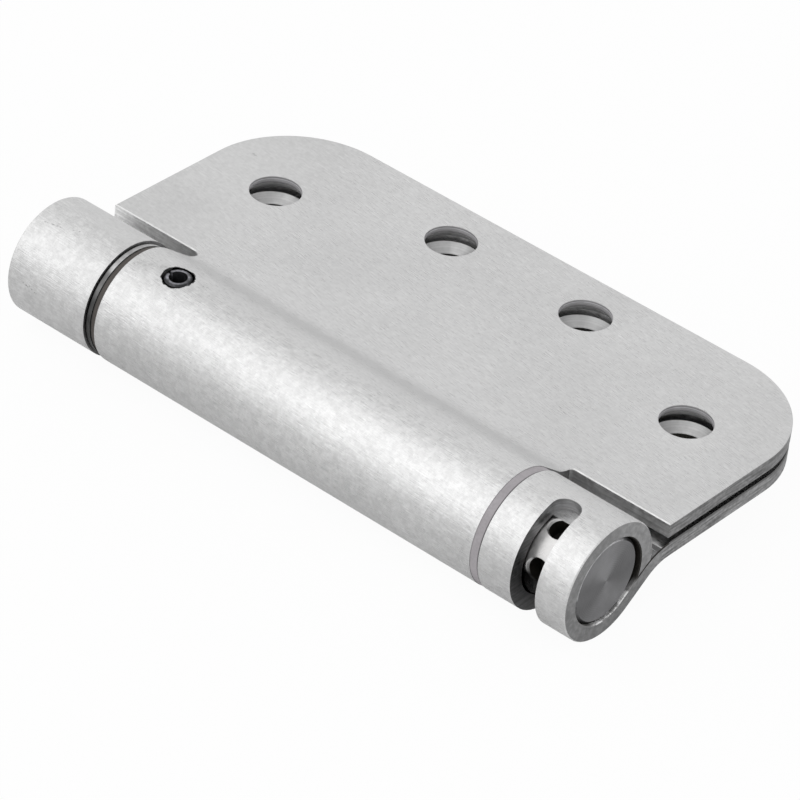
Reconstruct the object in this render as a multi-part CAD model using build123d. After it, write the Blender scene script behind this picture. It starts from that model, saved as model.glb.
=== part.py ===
from build123d import *
import os
from math import cos, radians, sin, tan

# Spring loaded door hinge, closed, in millimetres
# X runs along the pin axis, with its zero at mid length
# The leaves lie along +Y from the pin axis, and the door leaf is the upper one

# Leaves
hinge_length = 101.6
leaf_width = 50.8
leaf_thickness = 2.4
closed_gap = 1.0
corner_radius = 15.875
edge_break = 0.15

# Barrel
knuckle_radius = 8.95
end_knuckle_length = 14.8
ramp_angle = 36.0
knee_radius = 6.5
seam_gap = 0.2
free_end_angle = -24.0
relaxed_from = 80.0
relaxed_growth = 0.7
notch_edge = 12.8
notch_round = 1.3
relief_width = 0.7
relief_length = 3.4
relief_round = 0.65

# Screw holes
screw_hole_radius = 3.9
screw_hole_land = 1.0
countersink_angle = 82.0
outer_screw_spacing = 75.8
outer_screw_inset = 17.9
inner_screw_spacing = 24.9
inner_screw_inset = 8.4

# Bearings between the knuckles
washer_thickness = 0.9
washer_radius = 8.6
left_flange_thickness = 0.95
left_flange_radius = 8.5
right_flange_thickness = 1.35
right_flange_radius = 8.88
face_clearance = 0.06
running_clearance = 0.06
seat_clearance = 0.05
bushing_sleeve_length = 4.6
spindle_bushing_length = 7.0

# Plugs and pintle of the frame leaf
plug_clearance = 0.15
end_plug_recess = 0.25
left_plug_set_back = 0.95
right_plug_length = 2.5
plug_chamfer = 0.4
pintle_radius = 3.0
pintle_seat_depth = 11.0
spindle_washer_thickness = 0.7

# Anchor plug and roll pin of the door leaf
anchor_plug_length = 8.6
anchor_pin_offset = 2.9
roll_pin_angle = 86.0
roll_pin_radius = 2.0
roll_pin_wall = 0.68
roll_pin_slit = 0.5
roll_pin_length = 13.4
roll_pin_sink = 0.1
roll_pin_chamfer = 0.25
punched_hole_radius = 2.3

# Torsion spring and the spigots that hold it
wire_size = 2.0
wire_clearance = 0.15
spring_clearance = 0.3
wire_sides = 6
coil_pitch = 2.3
coil_segments = 12
spigot_radius = 3.7
spigot_length = 8.0
spigot_slot_depth = 6.0

# Adjusting spindle
neck_radius = 4.2
collar_clearance = 0.3
collar_set_back = 0.49
collar_chamfer = 0.4
journal_radius = 3.0
journal_length = 2.6
rod_hole_radius = 1.575
rod_hole_depth = 2.9
rod_hole_chamfer = 0.35
rod_hole_count = 6
rod_hole_phase = 10.0

# Adjusting slot in the right end knuckle, angles from -Y towards +Z
slot_width = 4.27
slot_inset = 7.13
slot_low_angle = -79.3
slot_high_angle = 79.3

# Places along the pin axis
left_end = -hinge_length / 2
right_end = hinge_length / 2
left_knuckle_face = left_end + end_knuckle_length
right_knuckle_face = right_end - end_knuckle_length
washer_start = left_knuckle_face + face_clearance
left_flange_start = washer_start + washer_thickness + face_clearance
door_knuckle_start = left_flange_start + left_flange_thickness
right_flange_end = right_knuckle_face - face_clearance
door_knuckle_end = right_flange_end - right_flange_thickness
left_plug_start = left_end + end_plug_recess
left_plug_end = left_knuckle_face - left_plug_set_back
pintle_start = left_plug_end - pintle_seat_depth
anchor_start = door_knuckle_start + bushing_sleeve_length + face_clearance
anchor_spigot_start = anchor_start + anchor_plug_length
anchor_spigot_end = anchor_spigot_start + spigot_length
anchor_pin_place = anchor_start + anchor_pin_offset
roll_pin_middle = knuckle_radius - roll_pin_sink - roll_pin_length / 2
right_plug_start = right_end - end_plug_recess - right_plug_length
spindle_washer_start = right_plug_start - spindle_washer_thickness
collar_end = spindle_washer_start - face_clearance
collar_start = right_knuckle_face + collar_set_back
neck_start = door_knuckle_end - spindle_bushing_length - 2 * face_clearance
spindle_spigot_start = neck_start - spigot_length
slot_place = right_end - slot_inset

# Radii that follow from the knuckles
bore_radius = knuckle_radius - leaf_thickness
plug_radius = bore_radius - plug_clearance
insert_radius = bore_radius - seat_clearance
collar_radius = bore_radius - collar_clearance
coil_radius = bore_radius - spring_clearance - wire_size / 2


def span(profile, start, end):
    """Extrudes a section drawn in the YZ plane between two places on the pin axis."""
    return Plane.YZ.offset(start) * extrude(profile, end - start)


def ring(outer, inner):
    """Section of a washer or sleeve."""
    return Circle(outer) - Circle(inner)


def around(shape, angle):
    """Turns a shape about the pin axis from -Y towards +Z."""
    return shape.rotate(Axis.X, -angle)


def folded_section():
    """Section of a leaf with its plate below the axis: curl, ramp, knee and plate."""
    middle = knuckle_radius - leaf_thickness / 2
    plate_height = -(closed_gap + leaf_thickness) / 2
    foot = Vector(middle * sin(radians(ramp_angle)), -middle * cos(radians(ramp_angle)))
    uphill = Vector(cos(radians(ramp_angle)), sin(radians(ramp_angle)))
    bend = knee_radius + leaf_thickness / 2
    slope = (plate_height - foot.Y) / uphill.Y - bend * tan(radians(ramp_angle / 2))
    ramp = Line(foot, foot + uphill * slope)
    knee = JernArc(ramp @ 1, uphill, bend, -ramp_angle)
    plate = Line(knee @ 1, (leaf_width, plate_height))
    relaxed_centre = Vector(1, 0).rotate(Axis.Z, relaxed_from) * -relaxed_growth
    relaxed_end = CenterArc(relaxed_centre, middle + relaxed_growth, free_end_angle,
                            relaxed_from - free_end_angle)
    curl = CenterArc((0, 0), middle, relaxed_from, 270 + ramp_angle - relaxed_from)
    seam = trace([ramp, knee, plate], leaf_thickness + 2 * seam_gap)
    wrap = trace([relaxed_end, curl], leaf_thickness) - seam
    return wrap + trace([ramp, knee, plate], leaf_thickness)


def leaf_outline():
    """Plan of a whole leaf, with round corners on the free edge only."""
    reach = leaf_width + 2 * knuckle_radius
    plan = Pos(0, leaf_width - reach / 2) * Rectangle(hinge_length, reach)
    corners = plan.vertices().group_by(Axis.Y)[-1]
    return fillet(corners, corner_radius)


def notch(start, end, rounded):
    """Plan of a notch at the barrel, with some of its two inner corners rounded, counted along X."""
    depth = notch_edge + 2 * knuckle_radius
    plan = Pos((start + end) / 2, notch_edge - depth / 2) * Rectangle(end - start, depth)
    corners = plan.vertices().group_by(Axis.Y)[-1].sort_by(Axis.X)
    return fillet([corners[i] for i in rounded], notch_round) if rounded else plan


def relief():
    """Plan of the rounded pocket that widens the right notch beside the knuckle's end face."""
    pocket = Pos(door_knuckle_end, notch_edge - relief_length / 2) * Rectangle(2 * relief_width, relief_length)
    return fillet(pocket.vertices().group_by(Axis.X)[0], relief_round)


def upright(plan):
    """Prism through both leaves from a plan."""
    height = 3 * knuckle_radius
    return Pos(0, 0, -height / 2) * extrude(plan, height)


def screw_holes():
    """Four countersunk holes for the lower leaf, open towards the closed gap."""
    inner_face = -closed_gap / 2
    sink_depth = leaf_thickness - screw_hole_land
    sink_radius = screw_hole_radius + sink_depth * tan(radians(countersink_angle / 2))
    middle = inner_face - leaf_thickness / 2
    drill = Pos(0, 0, middle) * Cylinder(screw_hole_radius, 2 * leaf_thickness)
    sink = Pos(0, 0, inner_face - sink_depth / 2) * Cone(screw_hole_radius, sink_radius, sink_depth)
    rows = ((outer_screw_spacing, outer_screw_inset), (inner_screw_spacing, inner_screw_inset))
    places = [Pos(side * spacing / 2, leaf_width - inset) for spacing, inset in rows for side in (-1, 1)]
    return Part() + [place * (drill + sink) for place in places]


def plate_edges(leaf, nearest, furthest):
    """Edges on both faces of the plate, with their middle between two distances from the pin axis."""
    middle = -(closed_gap + leaf_thickness) / 2
    return leaf.edges().filter_by(
        lambda edge: nearest < edge.center().Y < furthest
        and abs(abs(edge.center().Z - middle) - leaf_thickness / 2) < edge_break
    )


def broken_rim(leaf):
    """Breaks the sheared edges of the plate, its round corners and the ends of its knuckles."""
    return chamfer(plate_edges(leaf, notch_edge + leaf_thickness, leaf_width + edge_break), edge_break)


def broken_notches(leaf):
    """Breaks the straight edges of the notches."""
    edges = plate_edges(leaf, notch_edge - edge_break / 2, notch_edge + edge_break / 2)
    return chamfer(edges.filter_by(GeomType.LINE), edge_break)


def lower_leaf(cut_outs):
    """One leaf as a folded sheet with its notches and screw holes."""
    leaf = span(folded_section(), left_end, right_end) & upright(leaf_outline())
    for cut_out in cut_outs:
        leaf = leaf - upright(cut_out)
    return broken_rim(leaf) - screw_holes()


def adjusting_slot():
    """Cutter for the curved slot that shows the collar."""
    depth = leaf_thickness + 2 * collar_clearance + relaxed_growth
    section = Plane.XY * Pos(slot_place, -bore_radius - depth / 2) * Rectangle(slot_width, depth)
    sweep_angle = slot_high_angle - slot_low_angle
    band = revolve(section, Axis.X, -sweep_angle)
    drill = Pos(slot_place, -bore_radius - depth / 2, 0) * Rot(90, 0, 0) * Cylinder(slot_width / 2, depth)
    return around(band, slot_low_angle) + around(drill, slot_low_angle) + around(drill, slot_high_angle)


def frame_leaf():
    window = notch(left_knuckle_face, right_knuckle_face, [0, 1])
    return lower_leaf([window]) - adjusting_slot()


def door_leaf():
    left_notch = notch(left_end - 1, door_knuckle_start, [1])
    right_notch = notch(door_knuckle_end, right_end + 1, []) + relief()
    leaf = broken_notches(lower_leaf([left_notch, right_notch])).mirror(Plane.XY)
    punched_hole = Pos(0, 0, knuckle_radius) * Cylinder(punched_hole_radius, 3 * leaf_thickness)
    return leaf - at_roll_pin(punched_hole)


def left_end_plug():
    plug = span(Circle(plug_radius), left_plug_start, left_plug_end)
    plug = chamfer(plug.edges().filter_by(GeomType.CIRCLE), plug_chamfer)
    return plug - span(Circle(pintle_radius), pintle_start, left_plug_end)


def pintle_pin():
    pin = span(Circle(pintle_radius), pintle_start, anchor_start - face_clearance)
    return chamfer(pin.edges().filter_by(GeomType.CIRCLE), plug_chamfer)


def thrust_washer():
    return span(ring(washer_radius, pintle_radius + running_clearance),
                washer_start, washer_start + washer_thickness)


def flanged_bushing(flange_start, flange_end, flange_radius, sleeve_start, sleeve_end, bore):
    """Flange against the door knuckle's end face, sleeve inside the knuckle."""
    flange = span(ring(flange_radius, bore), flange_start, flange_end)
    return flange + span(ring(insert_radius, bore), sleeve_start, sleeve_end)


def left_bushing():
    return flanged_bushing(left_flange_start, door_knuckle_start, left_flange_radius,
                           door_knuckle_start, door_knuckle_start + bushing_sleeve_length,
                           pintle_radius + running_clearance)


def right_bushing():
    return flanged_bushing(door_knuckle_end, right_flange_end, right_flange_radius,
                           door_knuckle_end - spindle_bushing_length, door_knuckle_end,
                           neck_radius + running_clearance)


def spigot(start, end, slot_start):
    """Slotted boss inside the coil, which takes the spring's tang."""
    boss = span(Circle(spigot_radius), start, end)
    slot_middle = slot_start + spigot_slot_depth / 2
    slot_gap = wire_size + 2 * wire_clearance
    cut = Pos(slot_middle, 0, 0) * Box(spigot_slot_depth, slot_gap, 3 * spigot_radius)
    return boss - cut


def at_roll_pin(shape):
    """Carries a shape drawn along Z on the pin axis to the roll pin's place and angle."""
    return Pos(anchor_pin_place, 0, 0) * Rot(90 - roll_pin_angle, 0, 0) * shape


def anchor_plug():
    body = span(Circle(insert_radius), anchor_start, anchor_spigot_start)
    cross_hole = Pos(0, 0, roll_pin_middle) * Cylinder(roll_pin_radius + seat_clearance, roll_pin_length)
    boss = spigot(anchor_spigot_start, anchor_spigot_end, anchor_spigot_end - spigot_slot_depth)
    body = chamfer(body.edges().filter_by(GeomType.CIRCLE), plug_chamfer)
    return body + boss - at_roll_pin(cross_hole)


def anchor_roll_pin():
    tube = Cylinder(roll_pin_radius, roll_pin_length)
    tube = chamfer(tube.edges().filter_by(GeomType.CIRCLE), roll_pin_chamfer)
    tube = tube - Cylinder(roll_pin_radius - roll_pin_wall, roll_pin_length)
    slit = Pos(-roll_pin_radius, 0, 0) * Box(2 * roll_pin_radius, roll_pin_slit, roll_pin_length)
    return at_roll_pin(Pos(0, 0, roll_pin_middle) * (tube - slit))


def torsion_spring():
    """Round wire, drawn with flat sides, wound left-handed between two straight tangs."""
    start = anchor_spigot_end - spigot_slot_depth + wire_size / 2 + wire_clearance
    longest = spindle_spigot_start + spigot_slot_depth - wire_size / 2 - wire_clearance - start
    turns = int(longest / coil_pitch)
    bends = [
        Vector(coil_radius, 0, coil_pitch * i / coil_segments).rotate(Axis.Z, -360 * i / coil_segments)
        for i in range(turns * coil_segments + 1)
    ]
    first = Vector(-spigot_radius, 0, 0)
    last = Vector(-spigot_radius, 0, turns * coil_pitch)
    wire = Plane(origin=first, z_dir=(1, 0, 0)) * RegularPolygon(wire_size / 2, wire_sides)
    spring = sweep(wire, Polyline(first, *bends, last), transition=Transition.RIGHT)
    return Pos(start, 0, 0) * Rot(0, 90, 0) * spring


def adjusting_spindle():
    neck = span(Circle(neck_radius), neck_start, collar_start)
    collar = span(Circle(collar_radius), collar_start, collar_end)
    collar = chamfer(collar.edges().filter_by(GeomType.CIRCLE), collar_chamfer)
    journal = span(Circle(journal_radius), collar_end, collar_end + journal_length)
    boss = spigot(spindle_spigot_start, neck_start, spindle_spigot_start)
    bore = Pos(0, 0, -rod_hole_depth / 2) * Cylinder(rod_hole_radius, rod_hole_depth)
    mouth = Pos(0, 0, -rod_hole_chamfer / 2) * Cone(
        rod_hole_radius, rod_hole_radius + rod_hole_chamfer, rod_hole_chamfer)
    socket = Pos(slot_place, -collar_radius, 0) * Rot(90, 0, 0) * (bore + mouth)
    for i in range(rod_hole_count):
        collar = collar - around(socket, rod_hole_phase + 360 * i / rod_hole_count)
    return neck + collar + journal + boss


def spindle_washer():
    return span(ring(plug_radius, journal_radius + running_clearance),
                spindle_washer_start, spindle_washer_start + spindle_washer_thickness)


def right_end_plug():
    plug = span(Circle(plug_radius), right_plug_start, right_plug_start + right_plug_length)
    plug = chamfer(plug.edges().filter_by(GeomType.CIRCLE), plug_chamfer)
    bore_end = collar_end + journal_length + face_clearance
    return plug - span(Circle(journal_radius + running_clearance), right_plug_start, bore_end)


pieces = {
    "frame_leaf": frame_leaf,
    "door_leaf": door_leaf,
    "left_end_plug": left_end_plug,
    "pintle_pin": pintle_pin,
    "thrust_washer": thrust_washer,
    "left_bushing": left_bushing,
    "anchor_plug": anchor_plug,
    "anchor_roll_pin": anchor_roll_pin,
    "torsion_spring": torsion_spring,
    "adjusting_spindle": adjusting_spindle,
    "right_bushing": right_bushing,
    "spindle_washer": spindle_washer,
    "right_end_plug": right_end_plug,
}

os.makedirs("parts", exist_ok=True)
for name, make in pieces.items():
    export_step(make(), f"parts/{name}.step")
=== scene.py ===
"""Finish, stage and camera for a spring loaded door hinge, laid out as an add-on and run as a script."""

import math

import bpy
import numpy as np
from bpy.props import FloatProperty, FloatVectorProperty, PointerProperty
from mathutils import Matrix, Vector


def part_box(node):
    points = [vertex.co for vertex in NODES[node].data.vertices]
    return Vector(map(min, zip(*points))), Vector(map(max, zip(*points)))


bl_info = {
    "name": "Spring Hinge Finish",
    "version": (1, 0, 0),
    "blender": (4, 5, 0),
    "location": "View3D > Sidebar > Hinge",
    "description": "Brushed steel finish, stage and camera for a spring loaded door hinge",
    "category": "Object",
}

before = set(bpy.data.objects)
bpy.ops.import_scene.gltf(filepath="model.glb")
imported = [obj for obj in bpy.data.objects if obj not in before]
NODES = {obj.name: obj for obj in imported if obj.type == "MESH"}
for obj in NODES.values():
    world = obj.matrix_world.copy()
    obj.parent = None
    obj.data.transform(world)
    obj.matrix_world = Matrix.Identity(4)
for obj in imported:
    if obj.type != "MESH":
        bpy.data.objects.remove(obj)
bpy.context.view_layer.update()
MM = 0.001

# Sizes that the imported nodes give
HALF_LENGTH, LEAF_REACH, BARREL_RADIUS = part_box("door_leaf")[1]
WASHER_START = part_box("thrust_washer")[0].x

# Sizes of the leaves, with a margin where a face is told by them
CORNER_RADIUS = 15.875 * MM
GAP_HALF = 0.5 * MM
PLATE_START = 12.0 * MM
KNEE_END = 14.0 * MM
BORE_RADIUS = 6.55 * MM
SINK_RADIUS = 5.3 * MM
SCREW_PLACES = [(side * spacing / 2 * MM, reach * MM)
                for spacing, reach in ((75.8, 32.9), (24.9, 42.4)) for side in (-1, 1)]
SLOT_PLACE = HALF_LENGTH - 7.13 * MM
SLOT_REACH = 2.3 * MM

# The spindle's rod holes: degrees up from the front, and sizes with a margin for their faces
ROD_HOLE_COUNT = 6
ROD_HOLE_PHASE = 10.0
ROD_HOLE_REACH = 1.62 * MM
ROD_MOUTH = 0.62 * MM

# The roll pin, whose upper end leans forward
PIN_PLACE = -26.47 * MM
PIN_LEAN = math.radians(4)
PIN_AXIS = (0, -math.sin(PIN_LEAN), math.cos(PIN_LEAN))

# How far a face's centre may lie from the size that it is told by, and from the hinge's end
NEAR = 1 * MM
END_NEAR = 0.3 * MM

# Turn of the brush strokes from the hinge's length, and of the light's fan on a turned face, in degrees
LEAF_TURN = 9.0
BARREL_TURN = 3.5
FAN_PEAK = 105.0

# Where a finish starts and ends: distances from the roll pin's axis
PIN_BORE_EDGE = (1.3 * MM, 1.38 * MM)
PIN_RUB_EDGE = (1.5 * MM, 1.85 * MM)
TORN_EDGE = (2.02 * MM, 2.12 * MM)

# Places along the hinge
DULL_EDGE = (WASHER_START - 0.2 * MM, WASHER_START)
# Painted shade on the thrust washer where the knuckle's end shades its groove
GROOVE_SHADE_EDGE = (WASHER_START + 0.16 * MM, WASHER_START + 0.3 * MM)
RIM_EDGE = (HALF_LENGTH - 0.75 * MM, HALF_LENGTH - 0.6 * MM)
# Painted reflection of the floor on the notch walls fades out along here
NOTCH_REFLECTION_FADE = (-HALF_LENGTH, -30 * MM)

# Heights from the middle of the closed gap
# Painted shade on the upper leaf's screw hole walls below its face, where they look into the closed gap
HOLE_SHADE_FADE = (1.8 * MM, 2.2 * MM)
# Height of the painted shade on the leaves' inner faces in the closed gap
GAP_SHADE_HEIGHT = 0.9 * MM

# Distances from a bushing's joint, and from the rims of a leaf's inner face
# Painted shade in a thin line at a bushing's joint
JOINT_SHADE_EDGE = (0.06 * MM, 0.2 * MM)
MARGIN_EDGE = (0.9 * MM, 2.0 * MM)

# Sectors about the pin axis in degrees from the back, +Y, towards the top, +Z: middle and half width
# Painted light on the slot's upper end
SLOT_LIT_TOP = (106, 25)
KNUCKLE_BACK = (35, 50)
TORN_BURR = (-72, 34)
# Painted shade in the gap behind the relaxed curl
CURL_GAP_SHADE = (20, 46)
# Painted shade on the underside of the spindle
UNDERSIDE_SHADE = (-142, 42)
# Painted highlight and painted shade on the end plugs' chamfers
PLUG_HIGHLIGHT = (122, 58)
PLUG_GAP_SHADE = ((32, 26), (-120, 22))
# Painted light on top of the thrust washer and painted shade below it
WASHER_LIT_TOP = (82, 42)
WASHER_UNDER_SHADE = (-170, 40)

# The stage: the key lamp's direction, and the shares of white that a camera and a mirror see on the floor
KEY_DIRECTION = (-0.37, -0.62, 0.66)
FLOOR_SEEN = 0.95
FLOOR_MIRRORED = 0.2

# Handling marks in millimetres: start, end, width as a share of the usual one, and depth
MARKS = (
    ((-49.0, -3.83, 8.09), (-46.0, -3.3, 8.32), 0.9, 0.5),
    ((-46.0, -3.3, 8.32), (-43.51, -2.49, 8.60), 0.8, 0.5),
    ((-48.3, -8.92, 0.9), (-46.9, -8.94, 0.5), 1.5, 0.55),
    ((-46.6, -8.93, 0.7), (-45.2, -8.95, 0.1), 1.6, 0.55),
    ((-33.2, -2.4, 8.62), (-29.2, -0.3, 8.945), 6.0, 0.22),
    ((-22.7, 0.22, 8.95), (-22.1, 0.36, 8.94), 4.0, 0.3),
    ((22.86, 22.97, 2.9), (25.71, 21.64, 2.9), 1.0, 0.35),
    ((-46.7, 37.8, 2.9), (-46.3, 37.8, 2.9), 3.0, 0.35),
    ((5.6, 7.1, 4.9), (6.4, 7.3, 4.8), 3.0, 0.5),
)


def colour_property(name, description, default):
    return FloatVectorProperty(name=name, description=description, subtype="COLOR", size=3,
                               min=0.0, max=1.0, default=default)


def length_property(name, description, default):
    return FloatProperty(name=name, description=description, unit="LENGTH", default=default)


def angle_property(name, description, degrees):
    return FloatProperty(name=name, description=description, subtype="ANGLE", default=math.radians(degrees))


class HingeColours(bpy.types.PropertyGroup):
    """Colours of the hinge's finishes and of the floor."""

    leaf_steel: colour_property("Leaf steel", "Brushed sheet of both leaves", (0.585, 0.585, 0.585))
    sheared_steel: colour_property("Sheared edge", "Cut edges of the sheet", (0.27, 0.27, 0.272))
    # Paler than the other cut edges as a painted reflection of the floor
    notch_steel: colour_property("Notch walls", "Walls of the notches beside the barrel", (0.60, 0.60, 0.60))
    slot_steel: colour_property("Slot walls", "Milled walls of the adjusting slot", (0.17, 0.17, 0.172))
    sawn_steel: colour_property("Knuckle ends", "Cut ends of the knuckles", (0.265, 0.265, 0.267))
    dark_bore: colour_property("Dark bore", "Insides of the knuckles and rod holes", (0.014, 0.012, 0.009))
    bored_steel: colour_property("Countersinks", "Turned cones of the screw holes", (0.66, 0.66, 0.66))
    punched_steel: colour_property("Screw hole walls", "Straight walls of the screw holes",
                                   (0.80, 0.79, 0.81))
    plug_steel: colour_property("End plugs", "Turned discs in the end knuckles", (0.20, 0.20, 0.205))
    collar_steel: colour_property("Spindle", "Bright turned spindle and pintle", (0.56, 0.555, 0.55))
    washer_steel: colour_property("Thrust washer", "Oiled washer in the left groove", (0.15, 0.15, 0.15))
    black_steel: colour_property("Blackened steel", "Roll pin and spring", (0.018, 0.018, 0.02))
    brown_acetal: colour_property("Left bushing", "Brown-grey plastic bushing", (0.05, 0.042, 0.036))
    pale_acetal: colour_property("Right bushing", "Pale grey plastic bushing", (0.34, 0.32, 0.335))
    floor: colour_property("Floor", "Plain pale floor", (0.80, 0.80, 0.80))


class HingeFinishSizes(bpy.types.PropertyGroup):
    """Sizes of the marks that tools and handling leave on the hinge."""

    grain_length: length_property("Grain length", "Length of one brush stroke", 2.2 * MM)
    grain_width: length_property("Grain width", "Width of one brush stroke", 0.17 * MM)
    shear_width: length_property("Shear band width", "Width of one band on a cut edge", 0.3 * MM)
    shear_length: length_property("Shear band length", "Length of one band on a cut edge", 5.0 * MM)
    turning_pitch: length_property("Turning pitch", "Distance between two turned rings", 0.28 * MM)
    mark_width: length_property("Mark width", "Half width of a handling mark", 0.12 * MM)


class HingeStage(bpy.types.PropertyGroup):
    """Camera, lamps and floor."""

    aim: FloatVectorProperty(name="Aim", description="Point the camera looks at", subtype="XYZ",
                             unit="LENGTH", size=3, default=(5.458 * MM, 10.768 * MM, -0.301 * MM))
    distance: length_property("Camera distance", "From the aim to the camera", 627 * MM)
    azimuth: angle_property("Azimuth", "Camera's turn round the hinge", 36.856)
    elevation: angle_property("Elevation", "Camera's height above the horizon", 35.441)
    roll: angle_property("Roll", "Camera's turn about its own line of sight", 6.693)
    focal_length: FloatProperty(name="Focal length", description="In millimetres", default=205.3)
    floor_size: length_property("Floor size", "Side of the square floor", 6.0)
    key_power: FloatProperty(name="Key lamp", default=3.6,
                             description="Power of the soft lamp at the upper left, in watts")
    key_size: length_property("Key lamp size", "Side of the square key lamp", 1.3)
    key_distance: length_property("Key lamp distance", "From the hinge to the key lamp", 1.0)
    sky_strength: FloatProperty(name="Sky", default=0.85,
                                description="Strength of the even light from all round")


def shader_node(tree, kind, inputs=None, **settings):
    """Adds a node, sets its properties, then sets or links its inputs by name or number."""
    made = tree.nodes.new(kind)
    for name, value in settings.items():
        setattr(made, name, value)
    for name, value in (inputs or {}).items():
        if isinstance(value, bpy.types.NodeSocket):
            tree.links.new(value, made.inputs[name])
        else:
            made.inputs[name].default_value = value
    return made


def maths(tree, operation, first, second=None, third=None, clamp=False):
    values = {i: v for i, v in enumerate((first, second, third)) if v is not None}
    return shader_node(tree, "ShaderNodeMath", values, operation=operation, use_clamp=clamp).outputs[0]


def vector_maths(tree, operation, first, second=None, output=0):
    values = {i: v for i, v in enumerate((first, second)) if v is not None}
    return shader_node(tree, "ShaderNodeVectorMath", values, operation=operation).outputs[output]


def length_of(tree, vector):
    return vector_maths(tree, "LENGTH", vector, output="Value")


def coordinate(tree, place, axis):
    """One coordinate of a place, by its letter."""
    return shader_node(tree, "ShaderNodeSeparateXYZ", {0: place}).outputs[axis]


def combined(tree, x=0.0, y=0.0, z=0.0):
    """Vector of three values, each fixed or varying."""
    return shader_node(tree, "ShaderNodeCombineXYZ", {0: x, 1: y, 2: z}).outputs[0]


def scaled(tree, vector, value):
    """Colour or vector times a varying value."""
    inputs = {0: vector, "Scale": value}
    return shader_node(tree, "ShaderNodeVectorMath", inputs, operation="SCALE").outputs[0]


def ramp(tree, value, low, high, from_value=0.0, to_value=1.0):
    """Carries value from low..high to from_value..to_value and holds it there outside."""
    return shader_node(tree, "ShaderNodeMapRange", {
        "Value": value, "From Min": low, "From Max": high, "To Min": from_value, "To Max": to_value,
    }, interpolation_type="SMOOTHSTEP").outputs["Result"]


def swing(tree, value, low, high):
    """Carries a noise, which mostly keeps to 0.3..0.7, to low..high."""
    return ramp(tree, value, 0.3, 0.7, low, high)


def more(tree, mask, factor):
    """1 outside a mask and a factor within it."""
    return ramp(tree, mask, 0.0, 1.0, 1.0, factor)


def less(tree, mask, share):
    """1 less a share of a mask."""
    return maths(tree, "MULTIPLY_ADD", mask, -share, 1.0)


def noise(tree, vector, scale, detail=2.0, roughness=0.5):
    return shader_node(tree, "ShaderNodeTexNoise", {
        "Vector": vector, "Scale": scale, "Detail": detail, "Roughness": roughness,
    }).outputs["Fac"]


def new_group(name, inputs, outputs):
    """Empty shader node group with its sockets: (tree, sockets to read, sockets to fill)."""
    tree = bpy.data.node_groups.new(name, "ShaderNodeTree")
    for label, kind, default in inputs:
        socket = tree.interface.new_socket(label, in_out="INPUT", socket_type=kind)
        if default is not None:
            socket.default_value = default
    for label in outputs:
        tree.interface.new_socket(label, in_out="OUTPUT", socket_type="NodeSocketFloat")
    entry = tree.nodes.new("NodeGroupInput")
    leave = tree.nodes.new("NodeGroupOutput")
    return tree, entry.outputs, leave.inputs


def group(name, build):
    """The node group of that name, built on first use."""
    return bpy.data.node_groups.get(name) or build(name)


def use_group(tree, made, inputs):
    return shader_node(tree, "ShaderNodeGroup", inputs, node_tree=made).outputs


def product(tree, values):
    made = values[0]
    for value in values[1:]:
        made = maths(tree, "MULTIPLY", made, value)
    return made


def brushed_grain(name):
    """Brush strokes on the unrolled sheet, sparse bright scratches, clouds of tone, fine speckle, and
    mottle on the barrel's front half.

    The sheet is unrolled as (x, v), where v is y behind the pin axis and R atan2(y, z) in front of it.
    Strokes are noise in (x cos t - v sin t, x sin t + v cos t) over the stroke's length and width. Scratches
    are the peaks of the same noise drawn at another place, in patches."""
    tree, entry, leave = new_group(name, [
        ("Vector", "NodeSocketVector", None),
        ("Length", "NodeSocketFloat", 2.2 * MM),
        ("Width", "NodeSocketFloat", 0.17 * MM),
    ], ["Strokes", "Scratches", "Clouds", "Speckle", "Mottle"])
    parts = shader_node(tree, "ShaderNodeSeparateXYZ", {0: entry["Vector"]}).outputs
    rolled = maths(tree, "MULTIPLY", maths(tree, "ARCTAN2", parts["Y"], parts["Z"]), BARREL_RADIUS)
    front = maths(tree, "LESS_THAN", parts["Y"], 0.0)
    across = maths(tree, "MULTIPLY_ADD", front, maths(tree, "SUBTRACT", rolled, parts["Y"]), parts["Y"])
    on_leaf, on_barrel = math.radians(LEAF_TURN), math.radians(BARREL_TURN)
    turned = shader_node(tree, "ShaderNodeVectorRotate", {
        "Vector": combined(tree, parts["X"], across), "Axis": (0, 0, 1),
        "Angle": maths(tree, "MULTIPLY_ADD", front, on_barrel - on_leaf, on_leaf),
    }, rotation_type="AXIS_ANGLE").outputs[0]
    squeeze = combined(tree, maths(tree, "DIVIDE", 1.0, entry["Length"]),
                       maths(tree, "DIVIDE", 1.0, entry["Width"]))
    squeezed = vector_maths(tree, "MULTIPLY", turned, squeeze)
    strokes = noise(tree, squeezed, 1.0, 3.0, 0.62)
    fine = noise(tree, vector_maths(tree, "ADD", squeezed, (7.3, 3.1, 0)), 0.9, 1.0, 0.5)
    patches = ramp(tree, noise(tree, entry["Vector"], 160.0, 2.0, 0.5), 0.42, 0.62)
    tree.links.new(strokes, leave["Strokes"])
    tree.links.new(maths(tree, "MULTIPLY", ramp(tree, fine, 0.6, 0.72), patches), leave["Scratches"])
    tree.links.new(noise(tree, entry["Vector"], 55.0, 3.0, 0.5), leave["Clouds"])
    tree.links.new(noise(tree, entry["Vector"], 1900.0, 2.0, 0.6), leave["Speckle"])
    mottle = maths(tree, "SUBTRACT", noise(tree, entry["Vector"], 850.0, 4.0, 0.7), 0.5)
    tree.links.new(maths(tree, "MULTIPLY_ADD", mottle, front, 0.5), leave["Mottle"])
    return tree


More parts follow.
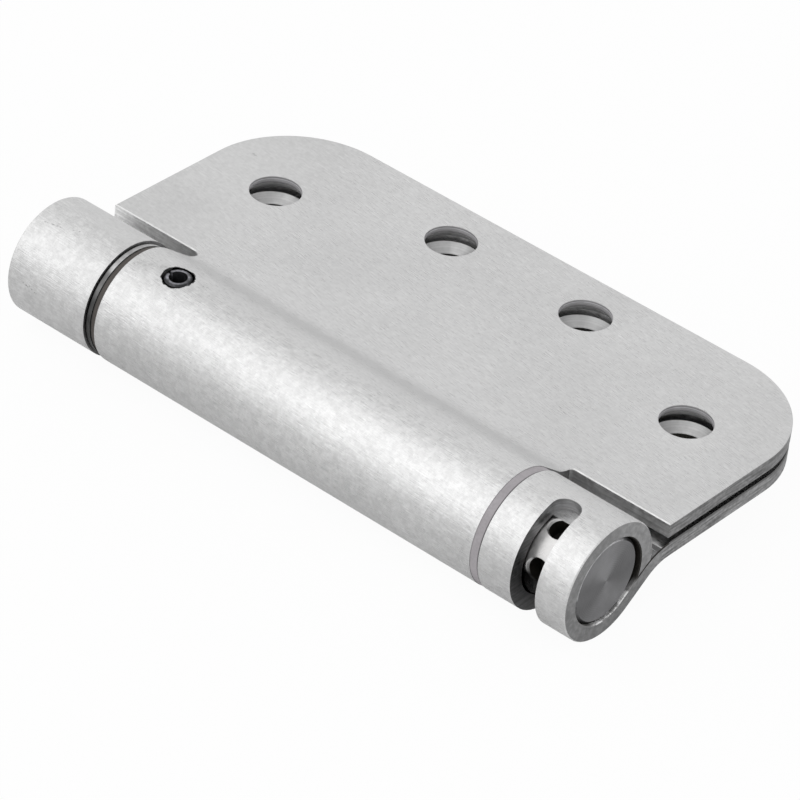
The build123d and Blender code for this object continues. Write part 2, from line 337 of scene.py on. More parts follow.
def turned_rings(name):
    """Rings about the pin axis, a fan and patches.

    Rings are a sine of the distance from the axis over the pitch. The fan is a cosine of twice the angle
    about the axis from FAN_PEAK, as light falls on a turned face."""
    tree, entry, leave = new_group(name, [
        ("Vector", "NodeSocketVector", None),
        ("Pitch", "NodeSocketFloat", 0.28 * MM),
    ], ["Rings", "Fan", "Patches"])
    off_axis = vector_maths(tree, "MULTIPLY", entry["Vector"], (0, 1, 1))
    radius = length_of(tree, off_axis)
    turns = maths(tree, "DIVIDE", radius, entry["Pitch"])
    phase = maths(tree, "MULTIPLY", turns, 2 * math.pi)
    wander = maths(tree, "MULTIPLY", noise(tree, entry["Vector"], 900.0, 3.0), 4.0)
    wave = maths(tree, "SINE", maths(tree, "ADD", phase, wander))
    parts = shader_node(tree, "ShaderNodeSeparateXYZ", {0: entry["Vector"]}).outputs
    angle = maths(tree, "ARCTAN2", parts["Z"], parts["Y"])
    fan = maths(tree, "COSINE", maths(tree, "MULTIPLY_ADD", angle, 2.0, math.radians(-2 * FAN_PEAK)))
    tree.links.new(maths(tree, "MULTIPLY_ADD", wave, 0.5, 0.5), leave["Rings"])
    tree.links.new(maths(tree, "MULTIPLY_ADD", fan, 0.5, 0.5), leave["Fan"])
    tree.links.new(noise(tree, entry["Vector"], 260.0, 4.0, 0.6), leave["Patches"])
    return tree


def shear_streaks(name):
    """Bands along a cut edge, which the shear leaves: noise fine through the sheet and long in its plane."""
    tree, entry, leave = new_group(name, [
        ("Vector", "NodeSocketVector", None),
        ("Width", "NodeSocketFloat", 0.3 * MM),
        ("Length", "NodeSocketFloat", 5.0 * MM),
    ], ["Streaks", "Tears"])
    along = maths(tree, "DIVIDE", 1.0, entry["Length"])
    squeeze = combined(tree, along, along, maths(tree, "DIVIDE", 1.0, entry["Width"]))
    streaks = noise(tree, vector_maths(tree, "MULTIPLY", entry["Vector"], squeeze), 1.0, 4.0, 0.6)
    tears = noise(tree, entry["Vector"], 1500.0, 4.0, 0.65)
    tree.links.new(streaks, leave["Streaks"])
    tree.links.new(tears, leave["Tears"])
    return tree


def sector_mask(name):
    """Sector about the pin axis: 1 where the cosine of the angle to Direction is above Reach."""
    tree, entry, leave = new_group(name, [
        ("Vector", "NodeSocketVector", None),
        ("Direction", "NodeSocketVector", None),
        ("Reach", "NodeSocketFloat", 0.5),
    ], ["Mask"])
    off_axis = vector_maths(tree, "NORMALIZE", vector_maths(tree, "MULTIPLY", entry["Vector"], (0, 1, 1)))
    towards = vector_maths(tree, "DOT_PRODUCT", off_axis, entry["Direction"], "Value")
    beyond = maths(tree, "SUBTRACT", towards, entry["Reach"])
    tree.links.new(ramp(tree, beyond, -0.07, 0.07), leave["Mask"])
    return tree


def sector(tree, place, middle, half):
    """Mask of the sector within half degrees of a middle angle, counted from +Y towards +Z."""
    at = math.radians(middle)
    return use_group(tree, group("Sector", sector_mask), {
        "Vector": place, "Direction": (0, math.cos(at), math.sin(at)), "Reach": math.cos(math.radians(half)),
    })["Mask"]


def off_roll_pin(name):
    """Distance from the roll pin's axis: the length of (place - pin) x axis."""
    tree, entry, leave = new_group(name, [("Vector", "NodeSocketVector", None)], ["Distance"])
    reach = vector_maths(tree, "SUBTRACT", entry["Vector"], (PIN_PLACE, 0, 0))
    crossed = vector_maths(tree, "CROSS_PRODUCT", reach, PIN_AXIS)
    tree.links.new(length_of(tree, crossed), leave["Distance"])
    return tree


def closed_gap_shade(name):
    """Painted shade along the rims of the leaves' inner faces and round their screw holes, in the closed gap.

    The distance to the rim is R - |(max(|x| - X + R, 0), max(y - Y + R, 0))|, with corners of radius R.
    Both halves of a leaf are alike, so its right hand screws stand for all."""
    tree, entry, leave = new_group(name, [("Vector", "NodeSocketVector", None)], ["Mask"])
    parts = shader_node(tree, "ShaderNodeSeparateXYZ", {0: entry["Vector"]}).outputs
    side = maths(tree, "ABSOLUTE", parts["X"])
    beyond_x = maths(tree, "MAXIMUM", maths(tree, "SUBTRACT", side, HALF_LENGTH - CORNER_RADIUS), 0.0)
    beyond_y = maths(tree, "MAXIMUM", maths(tree, "SUBTRACT", parts["Y"], LEAF_REACH - CORNER_RADIUS), 0.0)
    beyond = combined(tree, beyond_x, beyond_y)
    nearest = maths(tree, "SUBTRACT", CORNER_RADIUS, length_of(tree, beyond))
    folded = combined(tree, side, parts["Y"])
    for x, y in SCREW_PLACES[1::2]:
        off_hole = length_of(tree, vector_maths(tree, "SUBTRACT", folded, (x, y, 0)))
        nearest = maths(tree, "MINIMUM", nearest, maths(tree, "SUBTRACT", off_hole, SINK_RADIUS))
    ragged = maths(tree, "MULTIPLY_ADD", noise(tree, entry["Vector"], 700.0, 3.0, 0.6), 1.2 * MM, nearest)
    strip = ramp(tree, ragged, *MARGIN_EDGE, 1.0, 0.0)
    inner = maths(tree, "LESS_THAN", maths(tree, "ABSOLUTE", parts["Z"]), GAP_SHADE_HEIGHT)
    on_plate = maths(tree, "GREATER_THAN", parts["Y"], PLATE_START)
    tree.links.new(product(tree, [strip, inner, on_plate]), leave["Mask"])
    return tree


def handling_mark(name):
    """Mask of one mark: 1 on the straight line from Start to End, down to 0 at Width, ragged by noise."""
    tree, entry, leave = new_group(name, [
        ("Vector", "NodeSocketVector", None),
        ("Start", "NodeSocketVector", None),
        ("End", "NodeSocketVector", None),
        ("Width", "NodeSocketFloat", 0.12 * MM),
    ], ["Mask"])
    line = vector_maths(tree, "SUBTRACT", entry["End"], entry["Start"])
    reach = vector_maths(tree, "SUBTRACT", entry["Vector"], entry["Start"])
    along = maths(tree, "DIVIDE", vector_maths(tree, "DOT_PRODUCT", reach, line, "Value"),
                  vector_maths(tree, "DOT_PRODUCT", line, line, "Value"), clamp=True)
    off_line = vector_maths(tree, "SUBTRACT", reach, scaled(tree, line, along))
    ragged = ramp(tree, noise(tree, entry["Vector"], 1900.0, 3.0, 0.7), 0.46, 0.6, 0.0, 1.6)
    width = maths(tree, "MULTIPLY_ADD", entry["Width"], ragged, 0.001 * MM)
    share = maths(tree, "DIVIDE", length_of(tree, off_line), width)
    tree.links.new(maths(tree, "SUBTRACT", 1.0, share, clamp=True), leave["Mask"])
    return tree


def new_material(name):
    """Empty Principled material: (material, tree, shader node)."""
    made = bpy.data.materials.new(name)
    made.use_nodes = True
    return made, made.node_tree, made.node_tree.nodes["Principled BSDF"]


def new_finish(name):
    """Empty material of the hinge: (material, tree, shader node, Object coordinates)."""
    made, tree, shader = new_material(name)
    return made, tree, shader, tree.nodes.new("ShaderNodeTexCoord").outputs["Object"]


def bump(tree, shader, height, distance, strength=1.0):
    made = shader_node(tree, "ShaderNodeBump", {
        "Height": height, "Distance": distance, "Strength": strength,
    })
    tree.links.new(made.outputs["Normal"], shader.inputs["Normal"])


def brushed_steel(colours, sizes):
    """Satin sheet: strokes change tone, gloss and height. Marks, painted shade in the closed gap and the
    torn rim of the punched hole are darker."""
    made, tree, shader, place = new_finish("Brushed leaf steel")
    grain = use_group(tree, group("Brushed grain", brushed_grain), {
        "Vector": place, "Length": sizes.grain_length, "Width": sizes.grain_width,
    })
    marked = None
    for start, end, width, depth in MARKS:
        mask = maths(tree, "MULTIPLY", depth, use_group(tree, group("Handling mark", handling_mark), {
            "Vector": place, "Start": tuple(v * MM for v in start), "End": tuple(v * MM for v in end),
            "Width": width * sizes.mark_width,
        })["Mask"])
        marked = maths(tree, "MAXIMUM", marked, mask) if marked else mask
    # Painted shade where light can't get into the closed gap
    margin = use_group(tree, group("Closed gap shade", closed_gap_shade), {"Vector": place})["Mask"]
    off_pin = use_group(tree, group("Off roll pin", off_roll_pin), {"Vector": place})["Distance"]
    ragged = maths(tree, "MULTIPLY_ADD", noise(tree, place, 1500.0, 3.0, 0.6), -0.7 * MM, off_pin)
    upper = maths(tree, "GREATER_THAN", coordinate(tree, place, "Z"), 0.0)
    torn = maths(tree, "MULTIPLY", ramp(tree, ragged, *TORN_EDGE, 1.0, 0.0), upper)
    tone = product(tree, [
        swing(tree, grain["Strokes"], 0.91, 1.08), swing(tree, grain["Clouds"], 0.97, 1.03),
        swing(tree, grain["Speckle"], 0.96, 1.04), ramp(tree, grain["Mottle"], 0.38, 0.62, 1.06, 0.94),
        more(tree, grain["Scratches"], 1.13), less(tree, marked, 1.0), less(tree, margin, 0.76),
        less(tree, torn, 0.97),
    ])
    tree.links.new(scaled(tree, colours.leaf_steel[:], tone), shader.inputs["Base Color"])
    dulled = ramp(tree, coordinate(tree, place, "X"), *DULL_EDGE, 0.08, 0.0)
    gloss = maths(tree, "ADD", swing(tree, grain["Strokes"], 0.25, 0.47), dulled)
    tree.links.new(gloss, shader.inputs["Roughness"])
    shader.inputs["Metallic"].default_value = 1.0
    bump(tree, shader, maths(tree, "MULTIPLY_ADD", grain["Speckle"], 0.5, grain["Strokes"]), 0.075 * MM, 0.8)
    return made


def by_height(tree, place):
    """The lower leaf's edges are paler than the upper leaf's."""
    return ramp(tree, coordinate(tree, place, "Z"), -GAP_HALF, GAP_HALF, 1.1, 0.9)


def reflection_by_length(tree, place):
    """Painted reflection of the floor: notch walls are palest at the left end of the hinge."""
    return ramp(tree, coordinate(tree, place, "X"), *NOTCH_REFLECTION_FADE, 1.4, 0.95)


def light_by_turn(tree, place):
    """Painted light: slot walls are palest at the slot's upper end."""
    return more(tree, sector(tree, place, *SLOT_LIT_TOP), 2.5)


def sheared_steel(name, colour, sizes, contrast, shade):
    """Cut edge of the sheet: bands along the cut and torn patches, under a broad change of tone."""
    made, tree, shader, place = new_finish(name)
    streaks = use_group(tree, group("Shear streaks", shear_streaks), {
        "Vector": place, "Width": sizes.shear_width, "Length": sizes.shear_length,
    })
    tone = product(tree, [
        swing(tree, streaks["Streaks"], 1 - contrast, 1 + contrast),
        ramp(tree, streaks["Tears"], 0.35, 0.65, 1 - 0.6 * contrast, 1 + 0.6 * contrast),
        shade(tree, place),
    ])
    tree.links.new(scaled(tree, colour, tone), shader.inputs["Base Color"])
    tree.links.new(swing(tree, streaks["Tears"], 0.42, 0.62), shader.inputs["Roughness"])
    shader.inputs["Metallic"].default_value = 1.0
    bump(tree, shader, streaks["Streaks"], 0.05 * MM, 0.7)
    return made


def sawn_steel(colours, sizes):
    """Cut end of a knuckle: faintly mottled, darker than the sheet, paler towards its upper back."""
    made, tree, shader, place = new_finish("Cut knuckle end")
    streaks = use_group(tree, group("Shear streaks", shear_streaks), {
        "Vector": place, "Width": 3 * sizes.shear_width, "Length": 3 * sizes.shear_width,
    })
    tone = product(tree, [
        swing(tree, streaks["Streaks"], 0.86, 1.14), ramp(tree, streaks["Tears"], 0.35, 0.65, 0.88, 1.12),
        more(tree, sector(tree, place, *KNUCKLE_BACK), 1.2),
    ])
    tree.links.new(scaled(tree, colours.sawn_steel[:], tone), shader.inputs["Base Color"])
    tree.links.new(swing(tree, streaks["Tears"], 0.45, 0.6), shader.inputs["Roughness"])
    shader.inputs["Metallic"].default_value = 1.0
    bump(tree, shader, streaks["Tears"], 0.02 * MM, 0.5)
    return made


def burred_rim(colours):
    """Bore of a knuckle and its rim at the cut end.

    The bore is dark unfinished steel. Near the end it has painted shade, black in the gap behind the relaxed
    curl, a bright torn burr below it and plain cut steel elsewhere."""
    made, tree, shader, place = new_finish("Bore and burred rim")
    patches = noise(tree, place, 1400.0, 4.0, 0.7)
    torn = ramp(tree, patches, 0.42, 0.58, 0.2, 2.2)
    burr = maths(tree, "MULTIPLY_ADD", sector(tree, place, *TORN_BURR), torn, 0.8)
    lit = maths(tree, "MULTIPLY", burr, less(tree, sector(tree, place, *CURL_GAP_SHADE), 0.97))
    rim = ramp(tree, maths(tree, "ABSOLUTE", coordinate(tree, place, "X")), *RIM_EDGE)
    tone = maths(tree, "MULTIPLY", rim, lit)
    dark = scaled(tree, colours.dark_bore[:], swing(tree, patches, 0.6, 1.5))
    colour = vector_maths(tree, "ADD", scaled(tree, colours.sawn_steel[:], tone), dark)
    tree.links.new(colour, shader.inputs["Base Color"])
    shader.inputs["Roughness"].default_value = 0.6
    shader.inputs["Metallic"].default_value = 0.4
    bump(tree, shader, patches, 0.03 * MM, 0.5)
    return made


def dark_bore(colours):
    """Near-black steel in the rod holes, laid on the lower leaf's screw hole walls as painted shade."""
    made, tree, shader, place = new_finish("Dark bore")
    patches = noise(tree, place, 700.0, 4.0, 0.6)
    tree.links.new(scaled(tree, colours.dark_bore[:], swing(tree, patches, 0.6, 1.5)),
                   shader.inputs["Base Color"])
    tree.links.new(swing(tree, patches, 0.5, 0.7), shader.inputs["Roughness"])
    shader.inputs["Metallic"].default_value = 0.3
    return made


def turned_steel(name, colour, sizes, gloss, depth, fan=0.0, shade_below=0.0):
    """Turned face or bore: rings about the pin axis, cloudy patches, a painted fan of light and painted shade
    below.
    """
    made, tree, shader, place = new_finish(name)
    rings = use_group(tree, group("Turned rings", turned_rings), {
        "Vector": place, "Pitch": sizes.turning_pitch,
    })
    tone = product(tree, [
        ramp(tree, rings["Rings"], 0.0, 1.0, 0.95, 1.05), swing(tree, rings["Patches"], 0.85, 1.15),
        # Painted light of the fan and painted shade on the underside
        ramp(tree, rings["Fan"], 0.0, 1.0, 1 - fan, 1 + fan), less(tree, sector(tree, place, *UNDERSIDE_SHADE), shade_below),
    ])
    tree.links.new(scaled(tree, colour, tone), shader.inputs["Base Color"])
    tree.links.new(swing(tree, rings["Patches"], *gloss), shader.inputs["Roughness"])
    shader.inputs["Metallic"].default_value = 1.0
    bump(tree, shader, rings["Rings"], depth, 0.5)
    return made


def broken_plug_edge(colours):
    """Chamfer of an end plug: a painted highlight in a bright arc above, and painted shade in the gap
    behind and below it.
    """
    made, tree, shader, place = new_finish("Plug chamfer")
    grain = swing(tree, noise(tree, place, 1300.0, 3.0, 0.6), 0.75, 1.25)
    gap_shade = maths(tree, "MAXIMUM", *(sector(tree, place, *span) for span in PLUG_GAP_SHADE))
    tone = product(tree, [grain, more(tree, sector(tree, place, *PLUG_HIGHLIGHT), 2.2), less(tree, gap_shade, 0.85)])
    tree.links.new(scaled(tree, colours.plug_steel[:], tone), shader.inputs["Base Color"])
    shader.inputs["Roughness"].default_value = 0.5
    shader.inputs["Metallic"].default_value = 0.8
    return made


def grooved_washer(colours):
    """Thrust washer in its groove: painted shade, black against the knuckle's end and darker below, and
    painted light, paler only on top.
    """
    made, tree, shader, place = new_finish("Lit and shaded thrust washer")
    tone = product(tree, [
        swing(tree, noise(tree, place, 600.0, 3.0, 0.6), 0.8, 1.2),
        ramp(tree, coordinate(tree, place, "X"), *GROOVE_SHADE_EDGE, 0.04, 1.0),
        more(tree, sector(tree, place, *WASHER_LIT_TOP), 3.0),
        less(tree, sector(tree, place, *WASHER_UNDER_SHADE), 0.5),
    ])
    tree.links.new(scaled(tree, colours.washer_steel[:], tone), shader.inputs["Base Color"])
    shader.inputs["Roughness"].default_value = 0.5
    shader.inputs["Metallic"].default_value = 1.0
    return made


def bored_steel(name, colour, metallic, contrast, shaded_tone):
    """Screw hole walls: fine rings stacked along Z, and painted shade of another tone below the upper leaf's
    face.
    """
    made, tree, shader, place = new_finish(name)
    height = coordinate(tree, place, "Z")
    sway = maths(tree, "MULTIPLY_ADD", noise(tree, place, 180.0), 0.12 * MM, height)
    rings = noise(tree, combined(tree, z=sway), 5200.0, 2.0, 0.6)
    tone = product(tree, [
        ramp(tree, rings, 0.35, 0.65, 1 - contrast, 1.0),
        swing(tree, noise(tree, place, 420.0, 3.0, 0.6), 0.86, 1.06),
        ramp(tree, height, *HOLE_SHADE_FADE, shaded_tone, 1.0),
    ])
    tree.links.new(scaled(tree, colour, tone), shader.inputs["Base Color"])
    shader.inputs["Roughness"].default_value = 0.5
    shader.inputs["Metallic"].default_value = metallic
    bump(tree, shader, rings, 0.02 * MM, 0.6)
    return made


def blackened_steel(colours):
    """Oiled black steel, rubbed paler in patches and on the inner half of the roll pin's end."""
    made, tree, shader, place = new_finish("Blackened steel")
    off_pin = use_group(tree, group("Off roll pin", off_roll_pin), {"Vector": place})["Distance"]
    patches = noise(tree, place, 900.0, 4.0, 0.65)
    outside = ramp(tree, off_pin, *PIN_BORE_EDGE)
    inner = maths(tree, "MULTIPLY", outside, ramp(tree, off_pin, *PIN_RUB_EDGE, 1.0, 0.0))
    rubbed = maths(tree, "ADD", maths(tree, "MULTIPLY", outside, ramp(tree, patches, 0.5, 0.7, 1.0, 5.0)),
                   maths(tree, "MULTIPLY", inner, ramp(tree, patches, 0.35, 0.65, 2.0, 14.0)))
    tree.links.new(scaled(tree, colours.black_steel[:], rubbed), shader.inputs["Base Color"])
    tree.links.new(swing(tree, noise(tree, place, 1500.0), 0.32, 0.5), shader.inputs["Roughness"])
    shader.inputs["Metallic"].default_value = 0.4
    bump(tree, shader, patches, 0.05 * MM, 0.6)
    return made


def moulded_acetal(name, colour, roughness, joint):
    """Plastic bushing: even matt surface, faint flow marks, fine pits and a thin line of painted shade at a
    joint.
    """
    made, tree, shader, place = new_finish(name)
    flow = noise(tree, place, 300.0, 3.0, 0.5)
    pits = noise(tree, place, 3200.0, 2.0, 0.5)
    off_joint = maths(tree, "ABSOLUTE", maths(tree, "SUBTRACT", coordinate(tree, place, "X"), joint))
    tone = product(tree, [
        swing(tree, flow, 0.92, 1.07), swing(tree, pits, 0.94, 1.06),
        ramp(tree, off_joint, *JOINT_SHADE_EDGE, 0.25, 1.0),
    ])
    tree.links.new(scaled(tree, colour, tone), shader.inputs["Base Color"])
    shader.inputs["Roughness"].default_value = roughness
    bump(tree, shader, pits, 0.01 * MM, 0.4)
    return made


def face_table(mesh):
    """Centre and normal of every face of a mesh as two arrays."""
    count = len(mesh.polygons)
    centres, normals = np.empty(count * 3), np.empty(count * 3)
    mesh.polygons.foreach_get("center", centres)
    mesh.polygons.foreach_get("normal", normals)
    return centres.reshape(-1, 3), normals.reshape(-1, 3)


def slanted(normals):
    """True on faces that look neither along the pin axis nor off it, such as chamfers."""
    side = np.abs(normals[:, 0])
    return (side > 0.3) & (side < 0.9)


def dress(node_name, materials, kinds=None):
    """Gives a CAD node its materials, and each of its faces the material that kinds names."""
    mesh = NODES[node_name].data
    mesh.materials.clear()
    for made in materials:
        mesh.materials.append(made)
    if kinds is None:
        kinds = np.zeros(len(mesh.polygons), np.int32)
    mesh.polygons.foreach_set("material_index", kinds.astype(np.int32))


BRUSHED, SHEARED, PUNCHED, CUT_END, BORE, NOTCH, SLOT, BURR, SINK = range(9)


def leaf_kinds(mesh, lower):
    """Which finish a face of a leaf has, told by where it is and where it looks.

    Plate edges look along the sheet's plane and knuckle ends along X. Notch walls look at the barrel. Slot
    walls lie in the wall of the right knuckle and look off its radius. A bore looks at the pin axis. The
    rim between a knuckle's end and its bore has a burr. A screw hole's walls lie within its countersink's
    radius."""
    centres, normals = face_table(mesh)
    radius = np.hypot(centres[:, 1], centres[:, 2])
    outwards = (normals[:, 1] * centres[:, 1] + normals[:, 2] * centres[:, 2]) / radius
    side, ahead, up = np.abs(normals[:, 0]), normals[:, 1], np.abs(normals[:, 2])
    in_barrel = centres[:, 1] < PLATE_START
    at_end = np.abs(centres[:, 0]) > HALF_LENGTH - END_NEAR
    kinds = np.full(len(radius), BRUSHED)
    kinds[~in_barrel & (up < 0.5)] = SHEARED
    kinds[(np.abs(centres[:, 1] - PLATE_START) < NEAR) & (ahead < -0.3) & (up < 0.5)] = NOTCH
    in_slot = lower & in_barrel & (np.abs(centres[:, 0] - SLOT_PLACE) < SLOT_REACH) & (radius > BORE_RADIUS)
    kinds[in_slot & (np.abs(outwards) < 0.7)] = SLOT
    kinds[in_barrel & ~in_slot & (side > 0.9)] = CUT_END
    kinds[in_barrel & (radius < BORE_RADIUS + NEAR) & (outwards < -0.8)] = BURR
    folded = lower & (centres[:, 1] < KNEE_END)
    kinds[folded & at_end & slanted(normals) & (outwards < 0.3)] = BURR
    for x, y in SCREW_PLACES:
        wall = (np.hypot(centres[:, 0] - x, centres[:, 1] - y) < SINK_RADIUS) & (up < 0.98)
        kinds[wall] = SINK
        # The lower leaf's hole walls get the near-black bore steel as painted shade
        kinds[wall & (up < 0.1)] = BORE if lower else PUNCHED
    return kinds


def spindle_kinds(mesh):
    """1 in the rod holes of the spindle, which lie within their radius of six axes through the pin axis."""
    centres = face_table(mesh)[0]
    radius = np.hypot(centres[:, 1], centres[:, 2])
    kinds = np.zeros(len(radius), int)
    for i in range(ROD_HOLE_COUNT):
        turn = math.radians(ROD_HOLE_PHASE + 360 * i / ROD_HOLE_COUNT)
        axis = np.array((0.0, -math.cos(turn), math.sin(turn)))
        reach = centres - (SLOT_PLACE, 0, 0)
        along = reach @ axis
        off_axis = np.linalg.norm(reach - along[:, None] * axis, axis=1)
        deep = (along > 0) & (radius < BORE_RADIUS - ROD_MOUTH)
        kinds[deep & (off_axis < ROD_HOLE_REACH)] = 1
    return kinds


def chamfer_kinds(mesh):
    """1 on the slanted faces of a turned disc."""
    return slanted(face_table(mesh)[1]).astype(int)


class HINGE_OT_dress_leaves(bpy.types.Operator):
    """Gives both leaves their brushed faces, sheared edges and turned screw holes"""

    bl_idname = "hinge.dress_leaves"
    bl_label = "Dress leaves"

    def execute(self, context):
        colours, sizes = context.scene.hinge_colours, context.scene.hinge_sizes
        materials = [
            brushed_steel(colours, sizes),
            sheared_steel("Sheared sheet edge", colours.sheared_steel[:], sizes, 0.4, by_height),
            bored_steel("Punched hole wall", colours.punched_steel[:], 0.3, 0.72, 0.1),
            sawn_steel(colours, sizes),
            dark_bore(colours),
            sheared_steel("Notch wall", colours.notch_steel[:], sizes, 0.16, reflection_by_length),
            sheared_steel("Milled slot wall", colours.slot_steel[:], sizes, 0.24, light_by_turn),
            burred_rim(colours),
            bored_steel("Countersink", colours.bored_steel[:], 1.0, 0.14, 1.0),
        ]
        dress("frame_leaf", materials, leaf_kinds(NODES["frame_leaf"].data, True))
        dress("door_leaf", materials, leaf_kinds(NODES["door_leaf"].data, False))
        return {"FINISHED"}


class HINGE_OT_dress_turned(bpy.types.Operator):
    """Gives the plugs, the spindle and the pintle their turned steel"""

    bl_idname = "hinge.dress_turned"
    bl_label = "Dress turned parts"

    def execute(self, context):
        colours, sizes = context.scene.hinge_colours, context.scene.hinge_sizes
        plug = turned_steel("Turned plug steel", colours.plug_steel[:], sizes, (0.38, 0.5), 0.01 * MM,
                            fan=0.24)
        # The spindle gets painted shade on its underside, down to near black
        bright = turned_steel("Bright spindle steel", colours.collar_steel[:], sizes, (0.24, 0.38),
                              0.004 * MM, shade_below=0.98)
        edge = broken_plug_edge(colours)
        for name in ("left_end_plug", "right_end_plug"):
            dress(name, [plug, edge], chamfer_kinds(NODES[name].data))
        dress("anchor_plug", [plug])
        dress("pintle_pin", [bright])
        dress("adjusting_spindle", [bright, dark_bore(colours)],
              spindle_kinds(NODES["adjusting_spindle"].data))
        return {"FINISHED"}


class HINGE_OT_dress_bearings(bpy.types.Operator):
    """Gives the washers and bushings between the knuckles their steel and plastic"""

    bl_idname = "hinge.dress_bearings"
    bl_label = "Dress bearings"

    def execute(self, context):
        colours, sizes = context.scene.hinge_colours, context.scene.hinge_sizes
        pressed = turned_steel("Pressed washer steel", colours.collar_steel[:], sizes, (0.3, 0.42),
                               0.006 * MM)
        left_joint, right_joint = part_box("left_bushing")[0].x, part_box("right_bushing")[1].x
        brown = moulded_acetal("Brown acetal", colours.brown_acetal[:], 0.55, left_joint)
        pale = moulded_acetal("Pale acetal", colours.pale_acetal[:], 0.7, right_joint)
        dress("thrust_washer", [grooved_washer(colours)])
        dress("spindle_washer", [pressed])
        dress("left_bushing", [brown])
        dress("right_bushing", [pale])
        return {"FINISHED"}


class HINGE_OT_dress_black(bpy.types.Operator):
    """Gives the roll pin and the spring their blackened steel"""

    bl_idname = "hinge.dress_black"
    bl_label = "Dress roll pin and spring"

    def execute(self, context):
        black = blackened_steel(context.scene.hinge_colours)
        for name in ("anchor_roll_pin", "torsion_spring"):
            dress(name, [black])
        return {"FINISHED"}


def seen_share(tree, camera_share, mirror_share):
    """Share of white laid over the real shading: one for camera rays, one for glossy and transmission
    rays."""
    path = tree.nodes.new("ShaderNodeLightPath").outputs
    mirrored = maths(tree, "MAXIMUM", path["Is Glossy Ray"], path["Is Transmission Ray"])
    camera_part = maths(tree, "MULTIPLY", path["Is Camera Ray"], camera_share)
    return maths(tree, "MULTIPLY_ADD", mirrored, mirror_share, camera_part)


def floor_material(colour):
    """Pale floor that a camera sees nearly white, with part of its own shading left for the shadow."""
    made, tree, shader = new_material("Pale floor")
    shader.inputs["Base Color"].default_value = (*colour, 1.0)
    shader.inputs["Roughness"].default_value = 0.9
    shader.inputs["Specular IOR Level"].default_value = 0.0
    white = shader_node(tree, "ShaderNodeEmission", {"Color": (1, 1, 1, 1), "Strength": 1.0})
    mixed = shader_node(tree, "ShaderNodeMixShader", {
        0: seen_share(tree, FLOOR_SEEN, FLOOR_MIRRORED), 1: shader.outputs[0], 2: white.outputs[0]})
    tree.links.new(mixed.outputs[0], tree.nodes["Material Output"].inputs["Surface"])
    return made


def build_sky(strength):
    """Even grey sky that camera and glossy rays see as white."""
    world = bpy.data.worlds.new("Soft sky")
    world.use_nodes = True
    tree = world.node_tree
    sky = tree.nodes["Background"]
    sky.inputs["Color"].default_value = (1, 1, 1, 1)
    sky.inputs["Strength"].default_value = strength
    white = shader_node(tree, "ShaderNodeBackground", {"Color": (1, 1, 1, 1), "Strength": 1.0})
    mixed = shader_node(tree, "ShaderNodeMixShader", {
        0: seen_share(tree, 1.0, 1.0), 1: sky.outputs[0], 2: white.outputs[0]})
    tree.links.new(mixed.outputs[0], tree.nodes["World Output"].inputs["Surface"])
    bpy.context.scene.world = world


def sight_line(azimuth, elevation):
    """Unit vector from the aim towards the camera."""
    return Vector((math.sin(azimuth) * math.cos(elevation), -math.cos(azimuth) * math.cos(elevation),
                   math.sin(elevation)))


def build_camera(stage):
    """Camera at the photograph's angle, turned about its line of sight by the roll."""
    back = sight_line(stage.azimuth, stage.elevation)
    right = Vector((math.cos(stage.azimuth), math.sin(stage.azimuth), 0))
    up = back.cross(right)
    rolled = Matrix.Rotation(stage.roll, 3, back)
    axes = Matrix((rolled @ right, rolled @ up, back)).transposed()
    lens = bpy.data.cameras.new("Camera")
    lens.lens = stage.focal_length
    lens.sensor_width = 36.0
    lens.clip_start, lens.clip_end = 0.01, 50.0
    camera = bpy.data.objects.new("Camera", lens)
    bpy.context.scene.collection.objects.link(camera)
    camera.matrix_world = Matrix.Translation(Vector(stage.aim) + back * stage.distance) @ axes.to_4x4()
    bpy.context.scene.camera = camera


def soft_lamp(name, direction, distance, size, power):
    """Square area lamp that looks at the hinge from a direction."""
    light = bpy.data.lights.new(name, "AREA")
    light.shape, light.size, light.energy = "SQUARE", size, power
    lamp = bpy.data.objects.new(name, light)
    bpy.context.scene.collection.objects.link(lamp)
    towards = Vector(direction).normalized()
    lamp.location = towards * distance
    lamp.rotation_euler = (-towards).to_track_quat("-Z", "Y").to_euler()


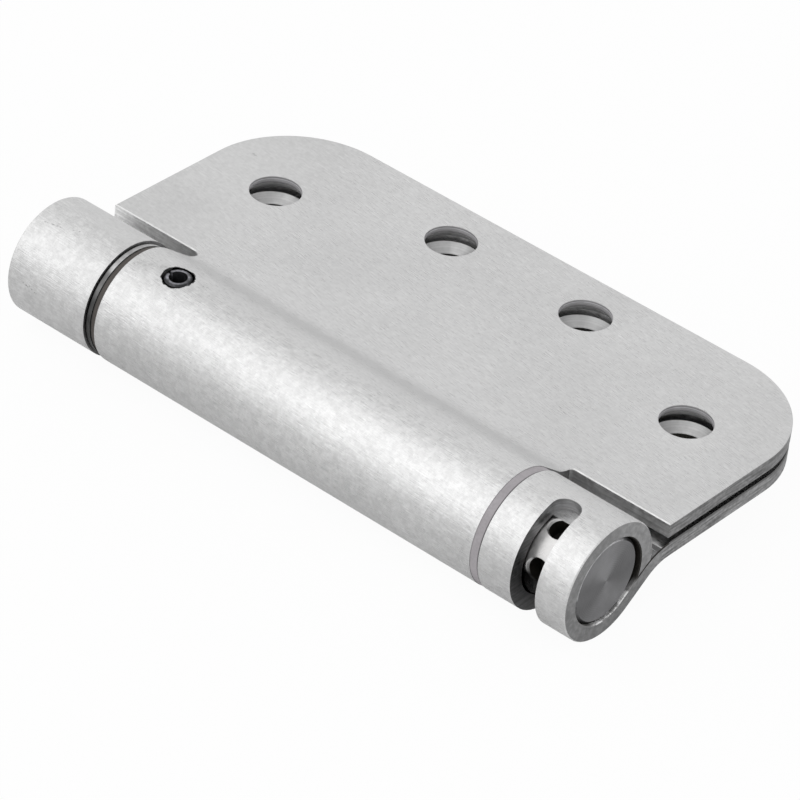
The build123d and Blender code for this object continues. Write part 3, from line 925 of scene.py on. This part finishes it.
class HINGE_OT_build_stage(bpy.types.Operator):
    """Builds the floor, the sky, the soft lamp and the camera"""

    bl_idname = "hinge.build_stage"
    bl_label = "Build stage"

    def execute(self, context):
        stage = context.scene.hinge_stage
        half = stage.floor_size / 2
        corners = [(x * half, y * half, -BARREL_RADIUS) for x, y in ((-1, -1), (1, -1), (1, 1), (-1, 1))]
        mesh = bpy.data.meshes.new("Floor")
        mesh.from_pydata(corners, [], [(0, 1, 2, 3)])
        mesh.materials.append(floor_material(context.scene.hinge_colours.floor[:]))
        floor = bpy.data.objects.new("Floor", mesh)
        context.scene.collection.objects.link(floor)
        build_sky(stage.sky_strength)
        soft_lamp("Key lamp", KEY_DIRECTION, stage.key_distance, stage.key_size, stage.key_power)
        build_camera(stage)
        context.scene.view_settings.view_transform = "Standard"
        return {"FINISHED"}


class HINGE_PT_panel(bpy.types.Panel):
    """Lists the hinge's operators in the 3D view's sidebar"""

    bl_label = "Spring hinge"
    bl_space_type = "VIEW_3D"
    bl_region_type = "UI"
    bl_category = "Hinge"

    def draw(self, context):
        for made in OPERATORS:
            self.layout.operator(made.bl_idname)
        for settings in (context.scene.hinge_colours, context.scene.hinge_sizes, context.scene.hinge_stage):
            for name in settings.__annotations__:
                self.layout.prop(settings, name)


OPERATORS = (HINGE_OT_dress_leaves, HINGE_OT_dress_turned, HINGE_OT_dress_bearings, HINGE_OT_dress_black,
             HINGE_OT_build_stage)
SETTINGS = {"hinge_colours": HingeColours, "hinge_sizes": HingeFinishSizes, "hinge_stage": HingeStage}


def register():
    for made in (*SETTINGS.values(), *OPERATORS, HINGE_PT_panel):
        bpy.utils.register_class(made)
    for name, made in SETTINGS.items():
        setattr(bpy.types.Scene, name, PointerProperty(type=made))


def unregister():
    for name in SETTINGS:
        delattr(bpy.types.Scene, name)
    for made in (HINGE_PT_panel, *reversed(OPERATORS), *SETTINGS.values()):
        bpy.utils.unregister_class(made)


def main():
    register()
    bpy.ops.hinge.dress_leaves()
    bpy.ops.hinge.dress_turned()
    bpy.ops.hinge.dress_bearings()
    bpy.ops.hinge.dress_black()
    bpy.ops.hinge.build_stage()


if __name__ == "__main__":
    main()
